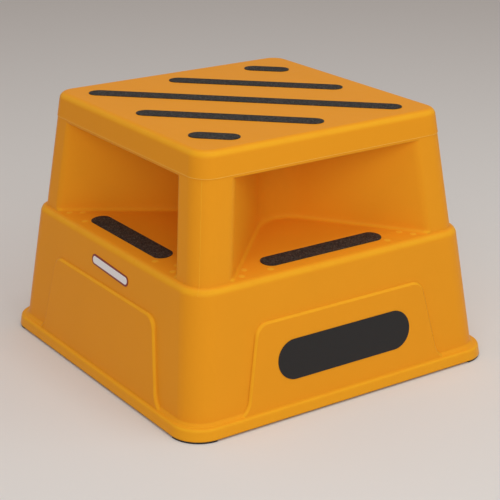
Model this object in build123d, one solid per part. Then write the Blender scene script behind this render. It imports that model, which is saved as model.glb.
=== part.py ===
from build123d import *
import os
from math import cos, radians, sin, sqrt, tan

# A two-tier plastic platform step, square in plan, with a foot bay in each of its four sides.
# Millimetres, +Z up. The origin is on the ground under the middle of the step.
# The front is -Y, the left side is -X.

# Base rim
BASE_WIDTH = 550.0
BASE_CORNER = 46.0
RIM_HEIGHT = 17.0
RIM_TOP_ROUND = 5.0
FLANGE_WIDTH = 12.0
FLANGE_ROOT_COVE = 4.0
CORNER_BLOCK = 62.0

# Walls of both tiers
WALL = 5.0
DRAFT = 6.8
LOWER_CORNER = 40.0
UPPER_CORNER = 30.0

# Heights above the ground
FOOT_HEIGHT = 3.0
TREAD_HEIGHT = 208.0
DECK_HEIGHT = 390.0

# Tread and deck edges
TREAD_ROUND = 12.0
POST_SETBACK = 9.0
DECK_ROUND = 11.0
SKIRT_HEIGHT = 37.0
SKIRT_LIP = 0.6
LINTEL = 3.5

# Foot bays, V-shaped in plan, between diagonal webs that end in the corner posts
WEB_THICKNESS = 78.0
BAY_APEX_ROUND = 57.0
TREAD_FALL = 5.0
BAY_FLOOR_ROUND = 6.0
POST_ROUND = 20.0
MOUTH_FLARE = 6.0

# Raised side panels
PANEL_TOP_HEIGHT = 146.0
PANEL_TOP_WIDTH = 295.0
PANEL_BOTTOM_WIDTH = 343.0
PANEL_CORNER = 22.0
PANEL_FLARE_HEIGHT = 10.0
PANEL_FLARE_SPREAD = 20.0
PANEL_FLARE_ROUND = 26.0
PANEL_PROUD = 5.0
PANEL_EDGE_BEVEL = 3.0

# Anti-slip strips
TAPE_WIDTH = 30.0
STRIP_THICKNESS = 1.0
DECK_STRIP_COUNT = 5
DECK_OUTER_STRIP_LENGTH = 73.0
DECK_STRIP_MARGIN = 52.0
DECK_STRIP_SHIFT = 7.5
STEP_STRIP_LENGTH = 210.0
STEP_STRIP_INSET = 25.0

# Plates
PLATE_THICKNESS = 0.8
BADGE_WIDTH = 236.0
BADGE_HEIGHT = 59.0
LOAD_LABEL_WIDTH = 107.0
LOAD_LABEL_HEIGHT = 16.0
LOAD_LABEL_RISE = 26.0
LOAD_LABEL_OFFSET = 14.0
LOAD_LABEL_TILT = 3.3

# Rubber feet
FOOT_WIDTH = 14.0
FOOT_INSET = 1.0

# How far a cutter runs past what it cuts, and how close two heights are to count as one
OVERRUN = 20.0
SAME = 0.001

# Worked out from the sizes above
SLOPE = tan(radians(DRAFT))
WALL_ACROSS = WALL / cos(radians(DRAFT))
BASE_HALF = BASE_WIDTH / 2
RIM_TOP = FOOT_HEIGHT + RIM_HEIGHT
SKIRT_LINE = DECK_HEIGHT - SKIRT_HEIGHT
BAY_CEILING = SKIRT_LINE - LINTEL
BAY_APEX = WEB_THICKNESS / sqrt(2)
PANEL_MIDDLE = (RIM_TOP + PANEL_TOP_HEIGHT) / 2
LOAD_LABEL_MIDDLE = PANEL_TOP_HEIGHT + LOAD_LABEL_RISE
DIAGONAL = 45.0


def rim_half(z):
    """Half width of the rim at height z."""
    return BASE_HALF - SLOPE * (z - FOOT_HEIGHT)


def lower_half(z):
    """Half width of the lower tier's sloping wall at height z."""
    return BASE_HALF - FLANGE_WIDTH - SLOPE * (z - RIM_TOP)


def upper_half(z):
    """Half width of the posts and the skirt at height z."""
    return lower_half(z) - POST_SETBACK


def tapered_block(half_at, z0, z1, corner, grow=0.0):
    """A square block with sloping sides between two heights, its corners rounded."""
    width = 2 * (half_at(z0) + grow)
    block = Pos(0, 0, z0) * extrude(Rectangle(width, width), z1 - z0, taper=DRAFT)
    corners = block.edges().group_by(Axis.Z)[1]
    return fillet(corners, corner)


def rounded_top(block, radius):
    return fillet(block.faces().sort_by(Axis.Z)[-1].edges(), radius)


def bevelled_top(block, size):
    return chamfer(block.faces().sort_by(Axis.Z)[-1].edges(), size)


def four_sides(shape):
    return [Rot(0, 0, 90 * quarter) * shape for quarter in range(4)]


def faceted(lower, upper):
    """A solid with flat faces between two outlines of as many points."""
    sides = [(lower[i - 1], lower[i], upper[i], upper[i - 1]) for i in range(len(lower))]
    faces = [Face(Wire.make_polygon(points)) for points in (lower, upper, *sides)]
    return Solid(Shell(faces))


def bay_outline(z):
    """The front bay at height z: a V whose mouth flares outside the posts."""
    face_y = upper_half(z)
    mouth_x = face_y - BAY_APEX
    shoulder = UPPER_CORNER + POST_ROUND
    flare_y = face_y + shoulder * tan(radians(MOUTH_FLARE))
    shoulder_x = mouth_x + shoulder
    right_side = [(mouth_x, -face_y, z), (shoulder_x, -flare_y, z), (shoulder_x, -face_y - BASE_HALF, z)]
    left_side = [(-x, y, z) for x, y, z in reversed(right_side)]
    return [(0, -BAY_APEX, z), *right_side, *left_side]


def floor_plane(below=0.0):
    """The plane of the front bay's floor, which falls outwards from the apex to the posts' face."""
    normal = Vector(0, -sin(radians(TREAD_FALL)), cos(radians(TREAD_FALL)))
    edge = Vector(0, -upper_half(TREAD_HEIGHT), TREAD_HEIGHT)
    return Plane(origin=edge - normal * below, x_dir=(1, 0, 0), z_dir=normal)


def on_floor(low, high):
    """Where the line between two points of the bay's outlines meets its sloping floor."""
    floor = floor_plane()
    low, high = Vector(*low), Vector(*high)
    rise = (high - low).dot(floor.z_dir)
    return low + (high - low) * ((floor.origin - low).dot(floor.z_dir) / rise)


def bay():
    """The space of the front bay, its walls rounded at the apex, at the posts and into the floor."""
    ceiling = bay_outline(BAY_CEILING)
    floor = [on_floor(low, high) for low, high in zip(bay_outline(TREAD_HEIGHT), ceiling)]
    space = faceted(floor, ceiling)
    space = fillet(space.edges().sort_by(Axis.Y)[-1], BAY_APEX_ROUND)
    mouth_y = -upper_half((TREAD_HEIGHT + BAY_CEILING) / 2)
    mouth = space.edges().filter_by_position(Axis.Y, mouth_y - SAME, mouth_y + SAME)
    space = fillet(mouth, POST_ROUND)
    floor_edges = space.faces().sort_by(Axis.Z)[0].edges()
    inside = [e for e in floor_edges if e.center().Y > -upper_half(TREAD_HEIGHT)]
    return fillet(inside, BAY_FLOOR_ROUND)


def bay_casing():
    """The front bay grown by the wall, so that the hollow inside stops short of it."""
    apex_y = BAY_APEX - WALL * sqrt(2)
    reach = BASE_HALF + OVERRUN
    corners = [(0, -apex_y), (reach, -apex_y - reach), (-reach, -apex_y - reach)]
    plan = make_face(Polyline(*corners, close=True))
    plan = fillet(plan.vertices().sort_by(Axis.Y)[-1], BAY_APEX_ROUND + WALL)
    bottom = TREAD_HEIGHT - WALL - OVERRUN
    prism = Pos(0, 0, bottom) * extrude(plan, BAY_CEILING + WALL - bottom)
    return split(prism, bisect_by=floor_plane(below=WALL), keep=Keep.TOP)


def panel():
    """The front raised panel: an outline cut from a skin a little outside the wall."""
    top_half = PANEL_TOP_WIDTH / 2
    bottom_half = PANEL_BOTTOM_WIDTH / 2
    foot_z = RIM_TOP - RIM_TOP_ROUND
    right_side = [
        (bottom_half + PANEL_FLARE_SPREAD, foot_z),
        (bottom_half, RIM_TOP + PANEL_FLARE_HEIGHT),
        (top_half, PANEL_TOP_HEIGHT),
    ]
    left_side = [(-x, z) for x, z in reversed(right_side)]
    outline = make_face(Polyline(*right_side, *left_side, close=True))
    flare_points = outline.vertices().group_by(Axis.Y)[1]
    outline = fillet(flare_points, PANEL_FLARE_ROUND)
    outline = fillet(outline.vertices().group_by(Axis.Y)[-1], PANEL_CORNER)
    back_y = lower_half(PANEL_TOP_HEIGHT) - OVERRUN
    prism = Pos(0, -back_y, 0) * extrude(Plane.XZ * outline, BASE_HALF - back_y)
    skin = tapered_block(lower_half, foot_z, TREAD_HEIGHT, LOWER_CORNER, PANEL_PROUD)
    raised = prism & skin
    front = raised.faces().sort_by(Axis.Y)[0]
    edges = [e for e in front.edges() if e.center().Z > foot_z + PANEL_EDGE_BEVEL]
    return chamfer(edges, PANEL_EDGE_BEVEL)


def outside():
    """Everything inside the step's outer skin, as one solid."""
    rim = rounded_top(tapered_block(rim_half, FOOT_HEIGHT, RIM_TOP, BASE_CORNER), RIM_TOP_ROUND)
    lower = tapered_block(lower_half, RIM_TOP - RIM_TOP_ROUND, TREAD_HEIGHT, LOWER_CORNER)
    lower = rim + rounded_top(lower, TREAD_ROUND)
    flange_top = lower.edges().filter_by_position(Axis.Z, RIM_TOP - SAME, RIM_TOP + SAME)
    flange_middle = lower_half(RIM_TOP) + FLANGE_ROOT_COVE
    root = [e for e in flange_top if max(abs(e.center().X), abs(e.center().Y)) < flange_middle]
    lower = chamfer(root, FLANGE_ROOT_COVE)
    lower = lower + four_sides(panel())
    posts = tapered_block(upper_half, TREAD_HEIGHT - TREAD_ROUND, SKIRT_LINE, UPPER_CORNER)
    deck = tapered_block(upper_half, SKIRT_LINE, DECK_HEIGHT, UPPER_CORNER, SKIRT_LIP)
    deck = rounded_top(deck, DECK_ROUND)
    return (lower + posts + deck) - four_sides(bay())


def hollow():
    """The space inside the body, open at the ground."""
    lower = tapered_block(lower_half, 0, TREAD_HEIGHT - WALL, LOWER_CORNER - WALL, -WALL_ACROSS)
    lower = bevelled_top(lower, TREAD_ROUND - WALL)
    upper = tapered_block(upper_half, TREAD_HEIGHT - WALL - OVERRUN, DECK_HEIGHT - WALL, UPPER_CORNER - WALL,
                          -WALL_ACROSS)
    upper = bevelled_top(upper, DECK_ROUND - WALL) - four_sides(bay_casing())
    return lower + upper


def rim_channel():
    """The channel under the front flange, between the corner blocks."""
    length = BASE_WIDTH - 2 * CORNER_BLOCK
    outer_y = BASE_HALF - WALL
    depth = outer_y - lower_half(RIM_TOP) + 2 * WALL
    height = RIM_HEIGHT - WALL + FOOT_HEIGHT
    return Pos(0, -outer_y + depth / 2, height / 2) * Box(length, depth, height)


def body():
    return outside() - hollow() - four_sides(rim_channel())


def foot():
    """The rubber foot under the corner between +X and +Y: a curved pad that follows the rim."""
    middle = BASE_HALF - BASE_CORNER
    outer = BASE_CORNER - FOOT_INSET
    quarter = Pos(outer / 2, outer / 2) * Rectangle(outer, outer)
    plan = (Circle(outer) - Circle(outer - FOOT_WIDTH)) & quarter
    return Pos(middle, middle, 0) * extrude(plan, FOOT_HEIGHT)


def deck_strip(index):
    """One diagonal strip of the deck, counted from the middle, where the strips are longest."""
    reach = sqrt(2) * (upper_half(DECK_HEIGHT) - DECK_STRIP_MARGIN)
    outermost = (DECK_STRIP_COUNT - 1) / 2
    pitch = (reach - (DECK_OUTER_STRIP_LENGTH - TAPE_WIDTH) / 2) / outermost
    length = 2 * (reach - abs(index) * pitch) + TAPE_WIDTH
    plan = Pos(0, index * pitch - DECK_STRIP_SHIFT) * SlotOverall(length, TAPE_WIDTH)
    return Pos(0, 0, DECK_HEIGHT) * Rot(0, 0, -DIAGONAL) * extrude(plan, STRIP_THICKNESS)


def step_strip():
    """The front tread's strip, laid on the sloping floor just behind the rounded edge."""
    behind = STEP_STRIP_INSET - POST_SETBACK + TAPE_WIDTH / 2
    plan = Pos(0, behind) * SlotOverall(STEP_STRIP_LENGTH, TAPE_WIDTH)
    return extrude(floor_plane() * plan, STRIP_THICKNESS)


def wall_plane(z, proud, along=0.0):
    """A plane on the front wall's slope, at a height and a distance along the wall."""
    normal = (0, -cos(radians(DRAFT)), sin(radians(DRAFT)))
    return Plane(origin=(along, -lower_half(z) - proud, z), x_dir=(1, 0, 0), z_dir=normal)


def badge_plate():
    plane = wall_plane(PANEL_MIDDLE, PANEL_PROUD)
    return extrude(plane * SlotOverall(BADGE_WIDTH, BADGE_HEIGHT), PLATE_THICKNESS)


def load_label():
    plane = wall_plane(LOAD_LABEL_MIDDLE, 0, along=LOAD_LABEL_OFFSET)
    plan = Rot(0, 0, -LOAD_LABEL_TILT) * SlotOverall(LOAD_LABEL_WIDTH, LOAD_LABEL_HEIGHT)
    return Rot(0, 0, -90) * extrude(plane * plan, PLATE_THICKNESS)


def nodes():
    parts = {"body": body(), "badge_plate": badge_plate(), "load_label": load_label()}
    middle = (DECK_STRIP_COUNT - 1) / 2
    for index in range(DECK_STRIP_COUNT):
        parts[f"deck_strip_{index + 1}"] = deck_strip(index - middle)
    for side, shape in zip(("front", "right", "back", "left"), four_sides(step_strip())):
        parts[f"step_strip_{side}"] = shape
    for index, shape in enumerate(four_sides(foot())):
        parts[f"foot_{index + 1}"] = shape
    return parts


os.makedirs("parts", exist_ok=True)
for name, shape in nodes().items():
    export_step(shape, f"parts/{name}.step")
    print(f"{name}: {shape.volume / 1000:.1f} cm3, {len(shape.solids())} solid, valid {shape.is_valid}")
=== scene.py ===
# %% [markdown]
# # A moulded platform step for a caravan door
#
# The object is a low two-tier step: one hollow orange moulding with a flat deck, four
# V-shaped foot bays cut into its sides, anti-slip tape on every surface that a shoe meets,
# and rubber pads under its corners. The solids come from the part's own CAD model and stay
# exactly where they are. This lesson gives them their finishes, adds the fine marks that
# a mould leaves behind, and sets up the light and the camera.

# %% Load the solids
import math
import bpy
import bmesh
from mathutils import Matrix, Vector
from mathutils.bvhtree import BVHTree


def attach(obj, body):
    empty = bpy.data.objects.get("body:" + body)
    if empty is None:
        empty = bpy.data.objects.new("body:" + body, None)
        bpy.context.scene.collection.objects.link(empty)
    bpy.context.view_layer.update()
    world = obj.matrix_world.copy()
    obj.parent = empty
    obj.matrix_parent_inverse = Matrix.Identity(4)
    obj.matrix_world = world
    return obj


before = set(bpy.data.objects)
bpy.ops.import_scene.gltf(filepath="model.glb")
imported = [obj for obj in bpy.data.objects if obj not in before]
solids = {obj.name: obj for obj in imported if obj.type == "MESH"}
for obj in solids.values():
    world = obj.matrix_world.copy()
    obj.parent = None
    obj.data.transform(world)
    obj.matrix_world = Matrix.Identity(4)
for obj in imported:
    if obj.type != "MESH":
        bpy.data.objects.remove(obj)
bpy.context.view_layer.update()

print("solids:", ", ".join(sorted(solids)))

# %% [markdown]
# ## The camera
#
# The picture was taken with a long lens, from a little over two metres away and about
# twenty degrees above the floor, with the corner between the left and the front side
# towards the viewer. A camera could be aimed with a Track To constraint, but the exact
# direction is known, so its axes are written straight into its matrix.

# %% Camera axes
UPWARD = Vector((0.0, 0.0, 1.0))


def camera_axes(azimuth, elevation, roll):
    """Right, up and back of a camera on this bearing, as the columns of a matrix."""
    back = Vector((math.sin(azimuth), -math.cos(azimuth), math.tan(elevation))).normalized()
    level_right = UPWARD.cross(back).normalized()
    level_up = back.cross(level_right)
    right = math.cos(roll) * level_right + math.sin(roll) * level_up
    up = math.cos(roll) * level_up - math.sin(roll) * level_right
    return Matrix((right, up, back)).transposed()


print("camera axes ready")

# %% Camera at the picture's angle
SENSOR_WIDTH = 36.0
IMAGE_WIDTH = 500.0
FOCAL_PIXELS = 1476.8
CAMERA_AZIMUTH = math.radians(-34.163)
CAMERA_ELEVATION = math.radians(20.2825)
CAMERA_ROLL = -0.00155
CAMERA_PLACE = Vector((-1.20396, -1.79054, 0.94511))

lens = bpy.data.cameras.new("picture_camera")
lens.sensor_width = SENSOR_WIDTH
lens.lens = FOCAL_PIXELS / IMAGE_WIDTH * SENSOR_WIDTH
camera = bpy.data.objects.new("picture_camera", lens)
bpy.context.scene.collection.objects.link(camera)
axes = camera_axes(CAMERA_AZIMUTH, CAMERA_ELEVATION, CAMERA_ROLL)
camera.matrix_world = Matrix.Translation(CAMERA_PLACE) @ axes.to_4x4()
bpy.context.scene.camera = camera
print(f"lens {lens.lens:.1f} mm, {CAMERA_PLACE.length:.2f} m from the middle of the base")

# %% [markdown]
# ## A small kit for nodes
#
# Every finish below is a tree of shader nodes, and the trees could be wired by hand one
# link at a time. A few helpers keep them readable instead. The first cell adds single
# nodes: a node with its settings, a sum, a noise, a mix of two colours. The second starts
# a material with its Principled BSDF, or a node group with named sockets, so that an effect
# which several finishes share is built once and placed in each with its own values.


# %% Helpers for nodes
def add_node(tree, kind, values=None, **settings):
    """A node of this kind with its settings and the plain values of its sockets."""
    node = tree.nodes.new(kind)
    for name, value in settings.items():
        setattr(node, name, value)
    for socket, value in (values or {}).items():
        node.inputs[socket].default_value = value
    return node


def feed(tree, socket, value):
    """Link another socket to this one, or set this one to a plain value."""
    if isinstance(value, bpy.types.NodeSocket):
        tree.links.new(value, socket)
    else:
        socket.default_value = value


def math_node(tree, operation, *values):
    """A Math node whose inputs are numbers or other sockets; returns its output socket."""
    node = add_node(tree, "ShaderNodeMath", operation=operation)
    for place, value in enumerate(values):
        feed(tree, node.inputs[place], value)
    return node.outputs["Value"]


def mix_colours(tree, mask, first, second):
    """Go from one colour to another by a mask; returns the socket of the mixed colour."""
    node = add_node(tree, "ShaderNodeMix", data_type="RGBA")
    for socket, value in (("Factor", mask), ("A", first), ("B", second)):
        feed(tree, node.inputs[socket], value)
    return node.outputs["Result"]


def object_place(tree):
    """Where a point of the surface lies in the object's frame, in metres."""
    return add_node(tree, "ShaderNodeTexCoord").outputs["Object"]


def noise(tree, place, values):
    node = add_node(tree, "ShaderNodeTexNoise", values)
    tree.links.new(place, node.inputs["Vector"])
    return node


print("node helpers ready")

# %% Helpers for finishes and shared effects
NUMBER = "NodeSocketFloat"
COLOUR = "NodeSocketColor"


def new_finish(name):
    material = bpy.data.materials.new(name)
    material.use_nodes = True
    tree = material.node_tree
    return material, tree, tree.nodes["Principled BSDF"]


def new_effect(name, inputs, outputs):
    """A shader node group with named sockets; inputs map a name to (socket type, default)."""
    group = bpy.data.node_groups.new(name, "ShaderNodeTree")
    for socket, (kind, value) in inputs.items():
        made = group.interface.new_socket(socket, in_out="INPUT", socket_type=kind)
        made.default_value = value
    for socket, kind in outputs.items():
        group.interface.new_socket(socket, in_out="OUTPUT", socket_type=kind)
    entry = group.nodes.new("NodeGroupInput")
    exit_node = group.nodes.new("NodeGroupOutput")
    return group, entry.outputs, exit_node.inputs


print("finish helpers ready")

# %% [markdown]
# ## The moulded skin
#
# A moulded surface is never perfectly even. The mould has a fine blasted texture, the
# plastic flows in at slightly different shades, and its gloss drifts a little from place
# to place. All of that could be painted, but three noises do it at their own sizes: a fine
# one for the texture that the light catches, a middle one for gloss, and a broad one for
# shade. The group serves the orange body with its mould lines and pips, the rubber pads,
# the plate and the label.

# %% The shared skin effect
SKIN_INPUTS = {
    "Colour": (COLOUR, (0.8, 0.8, 0.8, 1.0)),
    "Shade Drift": (NUMBER, 0.04),
    "Roughness": (NUMBER, 0.5),
    "Gloss Drift": (NUMBER, 0.06),
    "Grain per Metre": (NUMBER, 700.0),
}
SKIN_OUTPUTS = {"Colour": COLOUR, "Roughness": NUMBER, "Height": NUMBER}
SHADE_NOISE = {"Scale": 11.0, "Detail": 4.0}
GLOSS_NOISE = {"Scale": 60.0, "Detail": 5.0}
GRAIN_NOISE = {"Detail": 3.0, "Roughness": 0.6}
NOISE_MIDDLE = 0.5


def make_skin_effect():
    group, given, result = new_effect("moulded skin", SKIN_INPUTS, SKIN_OUTPUTS)
    links = group.links
    place = object_place(group)

    shade = noise(group, place, SHADE_NOISE)
    swing = math_node(group, "SUBTRACT", shade.outputs["Fac"], NOISE_MIDDLE)
    gain = math_node(group, "MULTIPLY_ADD", swing, given["Shade Drift"], 1.0)
    tint = add_node(group, "ShaderNodeVectorMath", operation="SCALE")
    links.new(given["Colour"], tint.inputs["Vector"])
    links.new(gain, tint.inputs["Scale"])
    links.new(tint.outputs["Vector"], result["Colour"])

    gloss = noise(group, place, GLOSS_NOISE)
    drift = math_node(group, "SUBTRACT", gloss.outputs["Fac"], NOISE_MIDDLE)
    rough = math_node(group, "MULTIPLY_ADD", drift, given["Gloss Drift"], given["Roughness"])
    links.new(rough, result["Roughness"])

    grain = noise(group, place, GRAIN_NOISE)
    links.new(given["Grain per Metre"], grain.inputs["Scale"])
    links.new(grain.outputs["Fac"], result["Height"])
    return group


skin_effect = make_skin_effect()
print("effect:", skin_effect.name, "with", len(skin_effect.nodes), "nodes")

# %% A finish that wears the skin
PLAIN_TINT = (1.0, 1.0, 1.0)
EDGE_SAMPLES = 8


def moulded_finish(name, colour, roughness, grain, depth, drift=0.05, gloss=0.5,
                   gloss_tint=PLAIN_TINT, edge_round=None):
    """A plain moulded finish: the skin effect feeding colour, roughness and a fine bump."""
    material, tree, shader = new_finish(name)
    shader.inputs["Specular IOR Level"].default_value = gloss
    shader.inputs["Specular Tint"].default_value = (*gloss_tint, 1.0)
    skin = add_node(tree, "ShaderNodeGroup", node_tree=skin_effect)
    skin.inputs["Colour"].default_value = (*colour, 1.0)
    skin.inputs["Shade Drift"].default_value = drift
    skin.inputs["Roughness"].default_value = roughness
    skin.inputs["Grain per Metre"].default_value = grain
    bump = add_node(tree, "ShaderNodeBump", {"Strength": 1.0, "Distance": depth})
    tree.links.new(skin.outputs["Colour"], shader.inputs["Base Color"])
    tree.links.new(skin.outputs["Roughness"], shader.inputs["Roughness"])
    tree.links.new(skin.outputs["Height"], bump.inputs["Height"])
    if edge_round is not None:
        soft_edge = add_node(
            tree, "ShaderNodeBevel", {"Radius": edge_round}, samples=EDGE_SAMPLES
        )
        tree.links.new(soft_edge.outputs["Normal"], bump.inputs["Normal"])
    tree.links.new(bump.outputs["Normal"], shader.inputs["Normal"])
    return material, tree, shader, skin


print("moulded finish ready")

# %% [markdown]
# ## Orange body
#
# The body is one hollow moulding in a strong safety orange, satin rather than glossy.
# Light bounces between the walls of each foot bay and comes back redder, which the
# renderer works out by itself as long as the colour is a true surface colour. A mould has
# no knife edges, so a Bevel node rounds the shading of the smallest bends by three
# millimetres. The thin mould lines and the pips get paler shades of the orange, palest under
# the skirt, which paint in the highlights that their small rounds catch.

# %% Orange plastic
ORANGE = (0.89, 0.352, 0.018)
# Painted highlights: paler shades of the orange for the mould lines and pips, palest for the
# line under the skirt.
LINE_HIGHLIGHT_ORANGE = (0.92, 0.46, 0.03)
SKIRT_HIGHLIGHT_ORANGE = (0.96, 0.55, 0.085)
ORANGE_ROUGHNESS = 0.36
ORANGE_GRAIN = 850.0
ORANGE_GRAIN_DEPTH = 0.00005
ORANGE_GLOSS = 0.07
ORANGE_GLOSS_TINT = (1.0, 0.95, 0.3)
EDGE_ROUND = 0.003


def orange_finish(name, colour, edge_round=None):
    """The body's plastic in one of its shades."""
    return moulded_finish(
        name, colour, ORANGE_ROUGHNESS, ORANGE_GRAIN, ORANGE_GRAIN_DEPTH,
        gloss=ORANGE_GLOSS, gloss_tint=ORANGE_GLOSS_TINT, edge_round=edge_round,
    )


orange, orange_tree, orange_shader, orange_skin = orange_finish(
    "orange_plastic", ORANGE, EDGE_ROUND
)
line_highlight, *_ = orange_finish("orange_line_highlight", LINE_HIGHLIGHT_ORANGE)
skirt_highlight, *_ = orange_finish("orange_skirt_highlight", SKIRT_HIGHLIGHT_ORANGE)
print("finishes:", orange.name, line_highlight.name, skirt_highlight.name)

# %% [markdown]
# ## Painted edge highlights
#
# The rounded edges get a painted highlight for the light that they catch: a yellower orange
# and a little less roughness than the walls. Such edges could be painted by hand, but the way
# a surface faces already tells them apart: walls and floors face level or straight up, and
# only the rounded edges, coves and bevels face in between. The upright edges of the side panels
# are found the same way, by a wall that is turned half towards its neighbour. The hollows,
# which are the line round a bay's floor and the cove above the rim, get far less of this
# painted highlight, and the rim gets part of it all over.


# %% Masks from numbers
def ramp(tree, value, start, end):
    """A smooth step between two (value, result) pairs."""
    ends = {"From Min": start[0], "From Max": end[0], "To Min": start[1], "To Max": end[1]}
    node = add_node(tree, "ShaderNodeMapRange", interpolation_type="SMOOTHSTEP")
    tree.links.new(value, node.inputs["Value"])
    for socket, number in ends.items():
        node.inputs[socket].default_value = number
    return node.outputs["Result"]


def hump(tree, value, rise, fall):
    """Up through one smooth step and down again through another."""
    return math_node(tree, "MULTIPLY", ramp(tree, value, *rise), ramp(tree, value, *fall))


def between(tree, value, low, high):
    return math_node(tree, "MULTIPLY", math_node(tree, "GREATER_THAN", value, low),
                     math_node(tree, "LESS_THAN", value, high))


def split(tree, vector):
    """The X, Y and Z sockets of a vector."""
    node = add_node(tree, "ShaderNodeSeparateXYZ")
    tree.links.new(vector, node.inputs["Vector"])
    return node.outputs


def compare_sides(tree, parts, choice):
    """The larger or the smaller of X and Y, whichever way they point."""
    return math_node(tree, choice, math_node(tree, "ABSOLUTE", parts["X"]),
                     math_node(tree, "ABSOLUTE", parts["Y"]))


print("mask helpers ready")

# %% Where the edge highlight is painted
# Masks for the painted edge highlight, from the way the surface faces and where it lies.
EDGE_STARTS = ((0.14, 0.0), (0.55, 1.0))
EDGE_ENDS = ((0.75, 1.0), (0.99, 0.0))
PANEL_EDGE_TURN = ((0.2, 0.0), (0.45, 1.0))
PANEL_REACH = 0.197
PANEL_TOP = 0.15
TREAD_REACH = 0.226
BAY_HEIGHTS = (0.16, 0.30)
COVE_HEIGHTS = (0.0203, 0.034)
HOLLOW_SHARE = 0.35
RIM_SHARE = 0.55


def level_edge_highlight(tree, facing, place):
    """Edges between a wall and a floor, less so in the hollows."""
    height = place["Z"]
    inside = math_node(tree, "LESS_THAN", compare_sides(tree, place, "MAXIMUM"), TREAD_REACH)
    in_bay = math_node(tree, "MULTIPLY", between(tree, height, *BAY_HEIGHTS), inside)
    hollow = math_node(tree, "MAXIMUM", in_bay, between(tree, height, *COVE_HEIGHTS))
    share = math_node(tree, "MULTIPLY_ADD", hollow, HOLLOW_SHARE - 1.0, 1.0)
    edge = hump(tree, facing["Z"], EDGE_STARTS, EDGE_ENDS)
    return math_node(tree, "MULTIPLY", edge, share)


def panel_edge_highlight(tree, facing, place):
    """Upright edges of the side panels, which lie low and away from the corners."""
    turned = ramp(tree, compare_sides(tree, facing, "MINIMUM"), *PANEL_EDGE_TURN)
    nearest = compare_sides(tree, place, "MINIMUM")
    off_corner = math_node(tree, "LESS_THAN", nearest, PANEL_REACH)
    low_down = math_node(tree, "LESS_THAN", place["Z"], PANEL_TOP)
    on_panel = math_node(tree, "MULTIPLY", off_corner, low_down)
    return math_node(tree, "MULTIPLY", turned, on_panel)


def rim_highlight(tree, place):
    below_cove = math_node(tree, "LESS_THAN", place["Z"], COVE_HEIGHTS[0])
    return math_node(tree, "MULTIPLY", below_cove, RIM_SHARE)


print(f"bay floors are hollow to {TREAD_REACH * 1000:.0f} mm from the middle")

# %% Paint the edge highlight on the orange
# Painted highlight: a yellower orange on the rounded edges, panel edges and rim, broken into
# patches by a noise.
EDGE_HIGHLIGHT_ORANGE = (0.925, 0.43, 0.02, 1.0)
HIGHLIGHT_SMOOTHER = -0.08
HIGHLIGHT_NOISE = {"Scale": 38.0, "Detail": 3.0}
HIGHLIGHT_SHARES = ((0.25, 0.7), (0.6, 1.0))


def paint_edge_highlights(tree, shader, skin):
    facing = split(tree, add_node(tree, "ShaderNodeNewGeometry").outputs["Normal"])
    coordinates = object_place(tree)
    place = split(tree, coordinates)
    edge = math_node(tree, "MAXIMUM", level_edge_highlight(tree, facing, place),
                     panel_edge_highlight(tree, facing, place))
    edge = math_node(tree, "MAXIMUM", edge, rim_highlight(tree, place))

    patches = noise(tree, coordinates, HIGHLIGHT_NOISE).outputs["Fac"]
    highlighted = math_node(tree, "MULTIPLY", edge, ramp(tree, patches, *HIGHLIGHT_SHARES))
    # Paint the highlight colour over the skin's colour, and lower the roughness under it.
    colour = mix_colours(tree, highlighted, skin.outputs["Colour"], EDGE_HIGHLIGHT_ORANGE)
    tree.links.new(colour, shader.inputs["Base Color"])
    smooth = math_node(tree, "MULTIPLY_ADD", highlighted, HIGHLIGHT_SMOOTHER, skin.outputs["Roughness"])
    tree.links.new(smooth, shader.inputs["Roughness"])


paint_edge_highlights(orange_tree, orange_shader, orange_skin)
print("orange nodes:", len(orange_tree.nodes))

# %% [markdown]
# ## Softer post edges
#
# A hand takes hold of the posts, and their upright edges shade off more softly than the
# others. The solids are rounded there already, but the shading still turns quickly where
# the round meets a flat wall. More faces could smooth that, and so can the Bevel node: its
# radius grows from three to nine millimetres between the tread and the skirt.

# %% Soften the posts
POST_EDGE_ROUND = 0.009
POST_STARTS = ((0.210, 0.0), (0.225, 1.0))
POST_ENDS = ((0.335, 1.0), (0.350, 0.0))


def soften_posts(tree):
    """Round the shading of the posts' upright edges further than that of the other edges."""
    height = split(tree, object_place(tree))["Z"]
    on_post = hump(tree, height, POST_STARTS, POST_ENDS)
    radius = math_node(tree, "MULTIPLY_ADD", on_post, POST_EDGE_ROUND - EDGE_ROUND, EDGE_ROUND)
    soft_edge = next(node for node in tree.nodes if node.type == "BEVEL")
    tree.links.new(radius, soft_edge.inputs["Radius"])


soften_posts(orange_tree)
print(f"post edges softened by {POST_EDGE_ROUND * 1000:.0f} mm")

# %% [markdown]
# ## Anti-slip tape
#
# The strips are tape with crushed grit bonded into a dark resin. Real grains would be
# millions of faces, far smaller than a pixel, so cells of a Voronoi texture stand for
# them: each cell is one grain with its own height and its own shade, and the bump makes
# them sparkle a little in the light.

# %% Grit tape
TAPE_DARK = (0.010, 0.0095, 0.009, 1.0)
TAPE_PALE = (0.175, 0.163, 0.147, 1.0)
TAPE_ROUGHNESS = 0.62
TAPE_ROUGHNESS_SPREAD = 0.3
TAPE_GLOSS = 0.35
TAPE_BUMP = 0.7
GRIT = {"Scale": 760.0, "Randomness": 1.0}
GRIT_PATCHES = {"Scale": 240.0, "Detail": 3.0}
GRAIN_HEIGHT = 0.0003
GRAIN_SLOPE = -0.38
FEW_BRIGHT_GRAINS = 3.0


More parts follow.
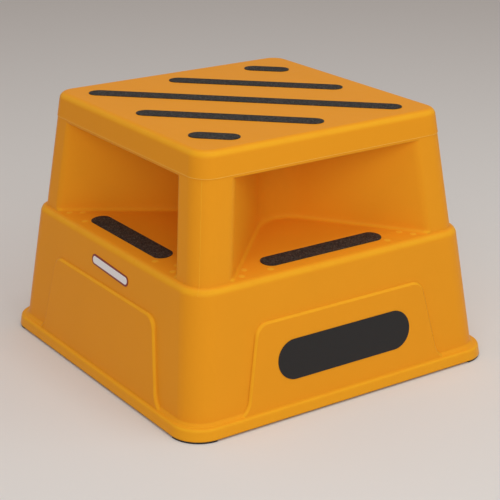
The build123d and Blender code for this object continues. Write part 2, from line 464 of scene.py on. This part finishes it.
def make_grit_tape():
    material, tree, shader = new_finish("grit_tape")
    shader.inputs["Specular IOR Level"].default_value = TAPE_GLOSS
    links = tree.links
    place = object_place(tree)
    grains = add_node(tree, "ShaderNodeTexVoronoi", GRIT)
    links.new(place, grains.inputs["Vector"])
    chance = add_node(tree, "ShaderNodeSeparateColor")
    links.new(grains.outputs["Color"], chance.inputs["Color"])

    patches = noise(tree, place, GRIT_PATCHES).outputs["Fac"]
    bright = math_node(tree, "POWER", chance.outputs["Red"], FEW_BRIGHT_GRAINS)
    spread = math_node(tree, "MULTIPLY", bright, patches)
    links.new(mix_colours(tree, spread, TAPE_DARK, TAPE_PALE), shader.inputs["Base Color"])
    rough = math_node(tree, "MULTIPLY_ADD", chance.outputs["Green"],
                      TAPE_ROUGHNESS_SPREAD, TAPE_ROUGHNESS)
    links.new(rough, shader.inputs["Roughness"])

    slope = math_node(tree, "MULTIPLY", grains.outputs["Distance"], GRAIN_SLOPE)
    height = math_node(tree, "ADD", slope, chance.outputs["Blue"])
    bump = add_node(tree, "ShaderNodeBump", {"Strength": TAPE_BUMP, "Distance": GRAIN_HEIGHT})
    links.new(height, bump.inputs["Height"])
    links.new(bump.outputs["Normal"], shader.inputs["Normal"])
    return material


grit_tape = make_grit_tape()
print("finish:", grit_tape.name)

# %% [markdown]
# ## Rubber pads, black plate and white label
#
# The pads are dull black rubber. The plate on the front panel is a satin black sticker
# that stays bare, and the small label above the left panel is white with a printed dark
# red border. The border is ink, not a shape, so a mask in the material draws it: the
# distance from the pill's middle line, measured in the label's own plane.

# %% Rubber and plate
RUBBER = (0.018, 0.017, 0.017)
RUBBER_ROUGHNESS = 0.8
RUBBER_GRAIN = 500.0
RUBBER_GRAIN_DEPTH = 0.00008
PLATE_BLACK = (0.014, 0.013, 0.0135)
PLATE_ROUGHNESS = 0.42
PLATE_GRAIN = 1200.0
PLATE_GRAIN_DEPTH = 0.00002
PLATE_GLOSS = 0.35

rubber, *_ = moulded_finish(
    "foot_rubber", RUBBER, RUBBER_ROUGHNESS, RUBBER_GRAIN, RUBBER_GRAIN_DEPTH
)
plate, *_ = moulded_finish(
    "black_plate", PLATE_BLACK, PLATE_ROUGHNESS, PLATE_GRAIN, PLATE_GRAIN_DEPTH,
    gloss=PLATE_GLOSS,
)
print("finishes:", rubber.name, plate.name)

# %% Measure the label
LEFTWARD = Vector((-1, 0, 0))
FACES_ALIKE = 0.9
FLAT_WITHIN = 1e-5


def face_frame(name, outward):
    """Middle, length axis, width axis, length and width of a flat plate's outer face."""
    mesh = solids[name].data
    outer = [p for p in mesh.polygons if p.normal.dot(outward) > FACES_ALIKE]
    normal = max(outer, key=lambda p: p.area).normal
    level = max(v.co.dot(normal) for v in mesh.vertices)
    rim = [v.co for v in mesh.vertices if v.co.dot(normal) > level - FLAT_WITHIN]
    first, last = max(
        ((a, b) for a in rim for b in rim), key=lambda pair: (pair[0] - pair[1]).length
    )
    along = (last - first).normalized()
    across = normal.cross(along)
    middle = (first + last) / 2
    width = max(abs((v - middle).dot(across)) for v in rim) * 2
    return middle, along, across, (last - first).length, width


label_middle, label_along, label_across, label_length, label_width = face_frame(
    "load_label", LEFTWARD
)
print(f"label {label_length * 1000:.0f} by {label_width * 1000:.0f} mm")

# %% Printed border
LABEL_WHITE = (0.90, 0.90, 0.91)
LABEL_ROUGHNESS = 0.4
LABEL_GRAIN = 1500.0
LABEL_GRAIN_DEPTH = 0.00001
LABEL_DRIFT = 0.03
LABEL_RED = (0.24, 0.006, 0.012, 1.0)
LABEL_BORDER = 0.0028


def distance_along(tree, offset, axis):
    """How far an offset reaches along an axis, either way."""
    dot = add_node(tree, "ShaderNodeVectorMath", operation="DOT_PRODUCT")
    feed(tree, dot.inputs[0], offset)
    feed(tree, dot.inputs[1], axis)
    return math_node(tree, "ABSOLUTE", dot.outputs["Value"])


def make_label():
    material, tree, shader, skin = moulded_finish(
        "white_label", LABEL_WHITE, LABEL_ROUGHNESS, LABEL_GRAIN, LABEL_GRAIN_DEPTH,
        drift=LABEL_DRIFT,
    )
    offset = add_node(tree, "ShaderNodeVectorMath", operation="SUBTRACT")
    feed(tree, offset.inputs[0], object_place(tree))
    feed(tree, offset.inputs[1], label_middle)
    along = distance_along(tree, offset.outputs["Vector"], label_along)
    across = distance_along(tree, offset.outputs["Vector"], label_across)
    past_middle = math_node(tree, "SUBTRACT", along, (label_length - label_width) / 2)
    past_middle = math_node(tree, "MAXIMUM", past_middle, 0.0)
    span = math_node(tree, "ADD", math_node(tree, "POWER", past_middle, 2.0),
                     math_node(tree, "POWER", across, 2.0))
    reach = math_node(tree, "SQRT", span)
    inked = math_node(tree, "GREATER_THAN", reach, label_width / 2 - LABEL_BORDER)
    colour = mix_colours(tree, inked, skin.outputs["Colour"], LABEL_RED)
    tree.links.new(colour, shader.inputs["Base Color"])
    return material


label = make_label()
print("finish:", label.name)

# %% [markdown]
# ## Dressing the solids
#
# Each solid is one real piece: the body, a strip of tape, a pad, the plate or the label.
# A finish could be stored in the mesh, but the meshes belong to the CAD model and stay as
# they came, so each finish is linked to the object, and a piece's name says which it gets.


# %% Dress the solids
def finish_for(name):
    if "strip" in name:
        return grit_tape
    if name.startswith("foot_"):
        return rubber
    return {"body": orange, "badge_plate": plate, "load_label": label}[name]


for name, solid in solids.items():
    if not solid.material_slots:
        solid.data.materials.append(None)
    for slot in solid.material_slots:
        slot.link = "OBJECT"
        slot.material = finish_for(name)
print("dressed", len(solids), "solids")

# %% [markdown]
# ## Mould lines
#
# Where the mould's halves met, a hair-thin ridge runs down each corner post and over the
# rounded edge of the tread below it. It could be a bump in the material, but a ridge of its
# own catches the light from any side. Each one is a strip of small quads. Rays shot at the
# body find the surface that carries it and the way that surface faces, so that the ridge
# lies exactly on the plastic.

# %% Rays at the body
FAR_OUT = 0.6
body_skin = BVHTree.FromPolygons(
    [v.co for v in solids["body"].data.vertices],
    [tuple(p.vertices) for p in solids["body"].data.polygons],
)


def skin_from_outside(outward, height):
    """The point of the skin that a level ray from outside meets, and the way it faces."""
    return body_skin.ray_cast(outward * FAR_OUT + UPWARD * height, -outward)[:2]


print("faces of the body that a ray can meet:", len(solids["body"].data.polygons))


# %% New pieces on the body
def spaced(low, high, count):
    return [low + (high - low) * step / (count - 1) for step in range(count)]


def quads_between(here, there, count):
    """Quads between two closed rows of points, each given by its first point's number."""
    return [(here + i, here + (i + 1) % count, there + (i + 1) % count, there + i)
            for i in range(count)]


def link_piece(name, points, faces, finish):
    """A smooth mesh piece with its finish, riding on the part's only body."""
    mesh = bpy.data.meshes.new(name)
    mesh.from_pydata(points, [], faces)
    shape = bmesh.new()
    shape.from_mesh(mesh)
    bmesh.ops.recalc_face_normals(shape, faces=shape.faces)
    shape.to_mesh(mesh)
    shape.free()
    mesh.shade_smooth()
    mesh.materials.append(finish)
    piece = bpy.data.objects.new(name, mesh)
    bpy.context.scene.collection.objects.link(piece)
    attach(piece, "root")


print("piece helpers ready")

# %% A ridge along a path
RIDGE_HALF_WIDTH = 0.00045
RIDGE_HEIGHT = 0.00025
RIDGE_SUNK = 0.0002
RIDGE_SHOULDER = 0.6
SHOULDER_HEIGHT = RIDGE_SHOULDER * RIDGE_HEIGHT
RIDGE_SECTION = (
    (-1.0, -RIDGE_SUNK), (-RIDGE_SHOULDER, SHOULDER_HEIGHT), (0.0, RIDGE_HEIGHT),
    (RIDGE_SHOULDER, SHOULDER_HEIGHT), (1.0, -RIDGE_SUNK),
)


def ridge(name, path, finish, closed=False):
    """A thin ridge along a path of (point, facing, sideways) on the body's skin."""
    count = len(RIDGE_SECTION)
    points = []
    for place, facing, sideways in path:
        points += [place + sideways * w * RIDGE_HALF_WIDTH + facing * h
                   for w, h in RIDGE_SECTION]
    faces = []
    for step in range(len(path) if closed else len(path) - 1):
        faces += quads_between(step * count, (step + 1) % len(path) * count, count)
    if not closed:
        faces += [tuple(range(count)), tuple(range(len(points) - count, len(points)))]
    link_piece(name, points, faces, finish)


print(f"ridges are {RIDGE_HALF_WIDTH * 2000:.1f} mm wide")

# %% Ridges down the posts
ROUND_LOW = 0.1985
ROUND_HIGH = 0.2068
ROUND_STEPS = 8
POST_LOW = 0.2095
POST_HIGH = 0.3525
POST_STEPS = 9
POST_HEIGHTS = (spaced(ROUND_LOW, ROUND_HIGH, ROUND_STEPS)
                + spaced(POST_LOW, POST_HIGH, POST_STEPS))
CORNERS = ((-1, -1), (1, -1), (1, 1), (-1, 1))


def post_path(side_x, side_y):
    """Up over the tread's rounded edge and then up the post of one corner."""
    outward = Vector((side_x, side_y, 0)).normalized()
    sideways = UPWARD.cross(outward)
    path = []
    for height in POST_HEIGHTS:
        place, facing = skin_from_outside(outward, height)
        facing = (facing - sideways * facing.dot(sideways)).normalized()
        path.append((place, facing, sideways))
    return path


# The ridges wear the paler line finish, a painted highlight along them.
for number, (side_x, side_y) in enumerate(CORNERS, 1):
    ridge(f"mould_line_{number}", post_path(side_x, side_y), line_highlight)
print("mould lines:", len(CORNERS))

# %% [markdown]
# ## Line round the skirt
#
# A second, level line runs all the way round the bottom of the skirt under the deck. It is
# the same ridge on a closed path. Points at even steps would either cut the corners or
# crowd the straight sides, so they lie close together only where the corners turn.

# %% Level line round the skirt
SKIRT_LINE = 0.3535
FULL_TURN = 360
QUARTER_TURN = 90
FIRST_CORNER = 45
SIDE_STEP = 5.0
CORNER_STEP = 0.5
CORNER_SPREAD = 7.0
CORNER_POINTS = int(2 * CORNER_SPREAD / CORNER_STEP) + 1


def skirt_bearings():
    """Bearings round the deck in degrees, close together only where the corners turn."""
    wide = [step * SIDE_STEP for step in range(int(FULL_TURN / SIDE_STEP))]
    wide = [b for b in wide if abs(b % QUARTER_TURN - FIRST_CORNER) > CORNER_SPREAD]
    tight = [FIRST_CORNER + QUARTER_TURN * corner + spread
             for corner in range(len(CORNERS))
             for spread in spaced(-CORNER_SPREAD, CORNER_SPREAD, CORNER_POINTS)]
    return sorted(wide + tight)


skirt_path = []
for bearing in map(math.radians, skirt_bearings()):
    outward = Vector((math.cos(bearing), math.sin(bearing), 0))
    place, facing = skin_from_outside(outward, SKIRT_LINE)
    skirt_path.append((place, facing, UPWARD))
# The skirt line wears the palest finish, a painted highlight along the edge under the skirt.
ridge("mould_line_skirt", skirt_path, skirt_highlight, closed=True)
print("points round the skirt:", len(skirt_path))

# %% [markdown]
# ## Pips on the treads
#
# Three low round pips stand at each end of every tread, beside the tape. They are part of
# the moulding, about a finger tip across and well under a millimetre high. A squashed UV
# sphere would sink half of itself into the plastic, so each pip is a shallow dome of its
# own, a few rings on the slope of the tread, which one ray straight down finds.

# %% A pip
PIP_RADIUS = 0.0055
PIP_HEIGHT = 0.0003
PIP_SUNK = 0.0002
PIP_POINTS = 20
PIP_RINGS = ((1.0, 0.0), (0.93, 0.35), (0.72, 0.7), (0.4, 0.93))
RAY_TOP = 0.3


def pip(name, place):
    middle, facing = body_skin.ray_cast(Vector((*place, RAY_TOP)), -UPWARD)[:2]
    across = facing.orthogonal().normalized()
    along = facing.cross(across)
    turns = [2 * math.pi * step / PIP_POINTS for step in range(PIP_POINTS)]
    points = []
    for reach, rise in PIP_RINGS:
        level = facing * (rise * (PIP_HEIGHT + PIP_SUNK) - PIP_SUNK)
        for turn in turns:
            spoke = across * math.cos(turn) + along * math.sin(turn)
            points.append(middle + level + spoke * reach * PIP_RADIUS)
    points.append(middle + facing * PIP_HEIGHT)
    top = len(points) - 1
    faces = [tuple(range(PIP_POINTS))]
    for ring in range(len(PIP_RINGS) - 1):
        faces += quads_between(ring * PIP_POINTS, (ring + 1) * PIP_POINTS, PIP_POINTS)
    last = top - PIP_POINTS
    faces += [(last + i, last + (i + 1) % PIP_POINTS, top) for i in range(PIP_POINTS)]
    # The pips wear the paler line finish, a painted highlight for the glint each catches.
    link_piece(name, points, faces, line_highlight)


print(f"pips are {PIP_RADIUS * 2000:.0f} mm across and {PIP_HEIGHT * 1000:.1f} mm high")

# %% Pips on every tread
PIP_PLACES = ((0.104, 0.221), (0.139, 0.206), (0.153, 0.2215))
SIDE_NAMES = ("front", "right", "back", "left")

pip_count = 0
for quarter, side in enumerate(SIDE_NAMES):
    round_to_side = Matrix.Rotation(quarter * math.pi / 2, 2)
    for along, depth in PIP_PLACES:
        for end in (-1, 1):
            pip_count += 1
            pip(f"tread_pip_{side}_{pip_count}", round_to_side @ Vector((end * along, -depth)))
print("pips:", pip_count)

# %% [markdown]
# ## Floor and light
#
# The step stands on a plain pale floor. Two large soft lamps stand in front and above, one
# before the front side and one before the near corner, so that light reaches into both bays.
# A third overhead evens out the deck, two weaker ones behind and to the right draw a line of
# light along the edges that turn away, and a slightly warm sky lifts the shadows. A picture
# of a studio could light the scene too, but lamps can be set one by one. Together they reach
# about the level at which a colour renders as it is written.

# %% Floor
FLOOR_HALF = 12.0
FLOOR_COLOUR = (0.80, 0.80, 0.79, 1.0)
FLOOR_ROUGHNESS = 0.9
FLOOR_GLOSS = 0.1

floor_mesh = bpy.data.meshes.new("floor")
floor_mesh.from_pydata(
    [(x * FLOOR_HALF, y * FLOOR_HALF, 0) for x, y in CORNERS], [], [(0, 1, 2, 3)]
)
floor = bpy.data.objects.new("floor", floor_mesh)
bpy.context.scene.collection.objects.link(floor)
floor_finish, _, floor_shader = new_finish("pale_floor")
floor_shader.inputs["Base Color"].default_value = FLOOR_COLOUR
floor_shader.inputs["Roughness"].default_value = FLOOR_ROUGHNESS
floor_shader.inputs["Specular IOR Level"].default_value = FLOOR_GLOSS
floor_mesh.materials.append(floor_finish)
print("floor laid")

# %% Lamps
LOOK_AT = Vector((0.0, 0.0, 0.2))
LAMP_SIZE = 1.8
COOL_WHITE = (0.86, 1.0, 1.0)
PLAIN_WHITE = (1.0, 0.99, 0.98)
WARM_WHITE = (1.0, 0.955, 0.95)
LAMPS = (
    ("front_lamp", (0.19, -2.77, 1.80), 15.0, COOL_WHITE),
    ("corner_lamp", (-1.83, -2.18, 1.65), 21.5, WARM_WHITE),
    ("top_lamp", (0.0, -0.28, 3.39), 30.0, PLAIN_WHITE),
    ("back_lamp", (-1.39, 2.40, 1.80), 2.0, PLAIN_WHITE),
    ("right_lamp", (1.76, -1.70, 2.26), 9.0, PLAIN_WHITE),
)


def soft_lamp(name, place, power, colour):
    """A large square lamp that is aimed at the step."""
    lamp = bpy.data.lights.new(name, "AREA")
    lamp.shape = "SQUARE"
    lamp.size = LAMP_SIZE
    lamp.energy = power
    lamp.color = colour
    holder = bpy.data.objects.new(name, lamp)
    bpy.context.scene.collection.objects.link(holder)
    aim = (LOOK_AT - Vector(place)).to_track_quat("-Z", "Y")
    holder.matrix_world = Matrix.Translation(place) @ aim.to_matrix().to_4x4()


for name, place, power, colour in LAMPS:
    soft_lamp(name, place, power, colour)
print("lamps lit:", len(LAMPS))

# %% Sky
SKY_COLOUR = (1.0, 0.87, 0.80, 1.0)
SKY_STRENGTH = 0.335

world = bpy.data.worlds.new("soft_sky")
world.use_nodes = True
sky = world.node_tree.nodes["Background"]
sky.inputs["Color"].default_value = SKY_COLOUR
sky.inputs["Strength"].default_value = SKY_STRENGTH
bpy.context.scene.world = world
bpy.context.scene.view_settings.view_transform = "Standard"
print("sky strength:", SKY_STRENGTH)
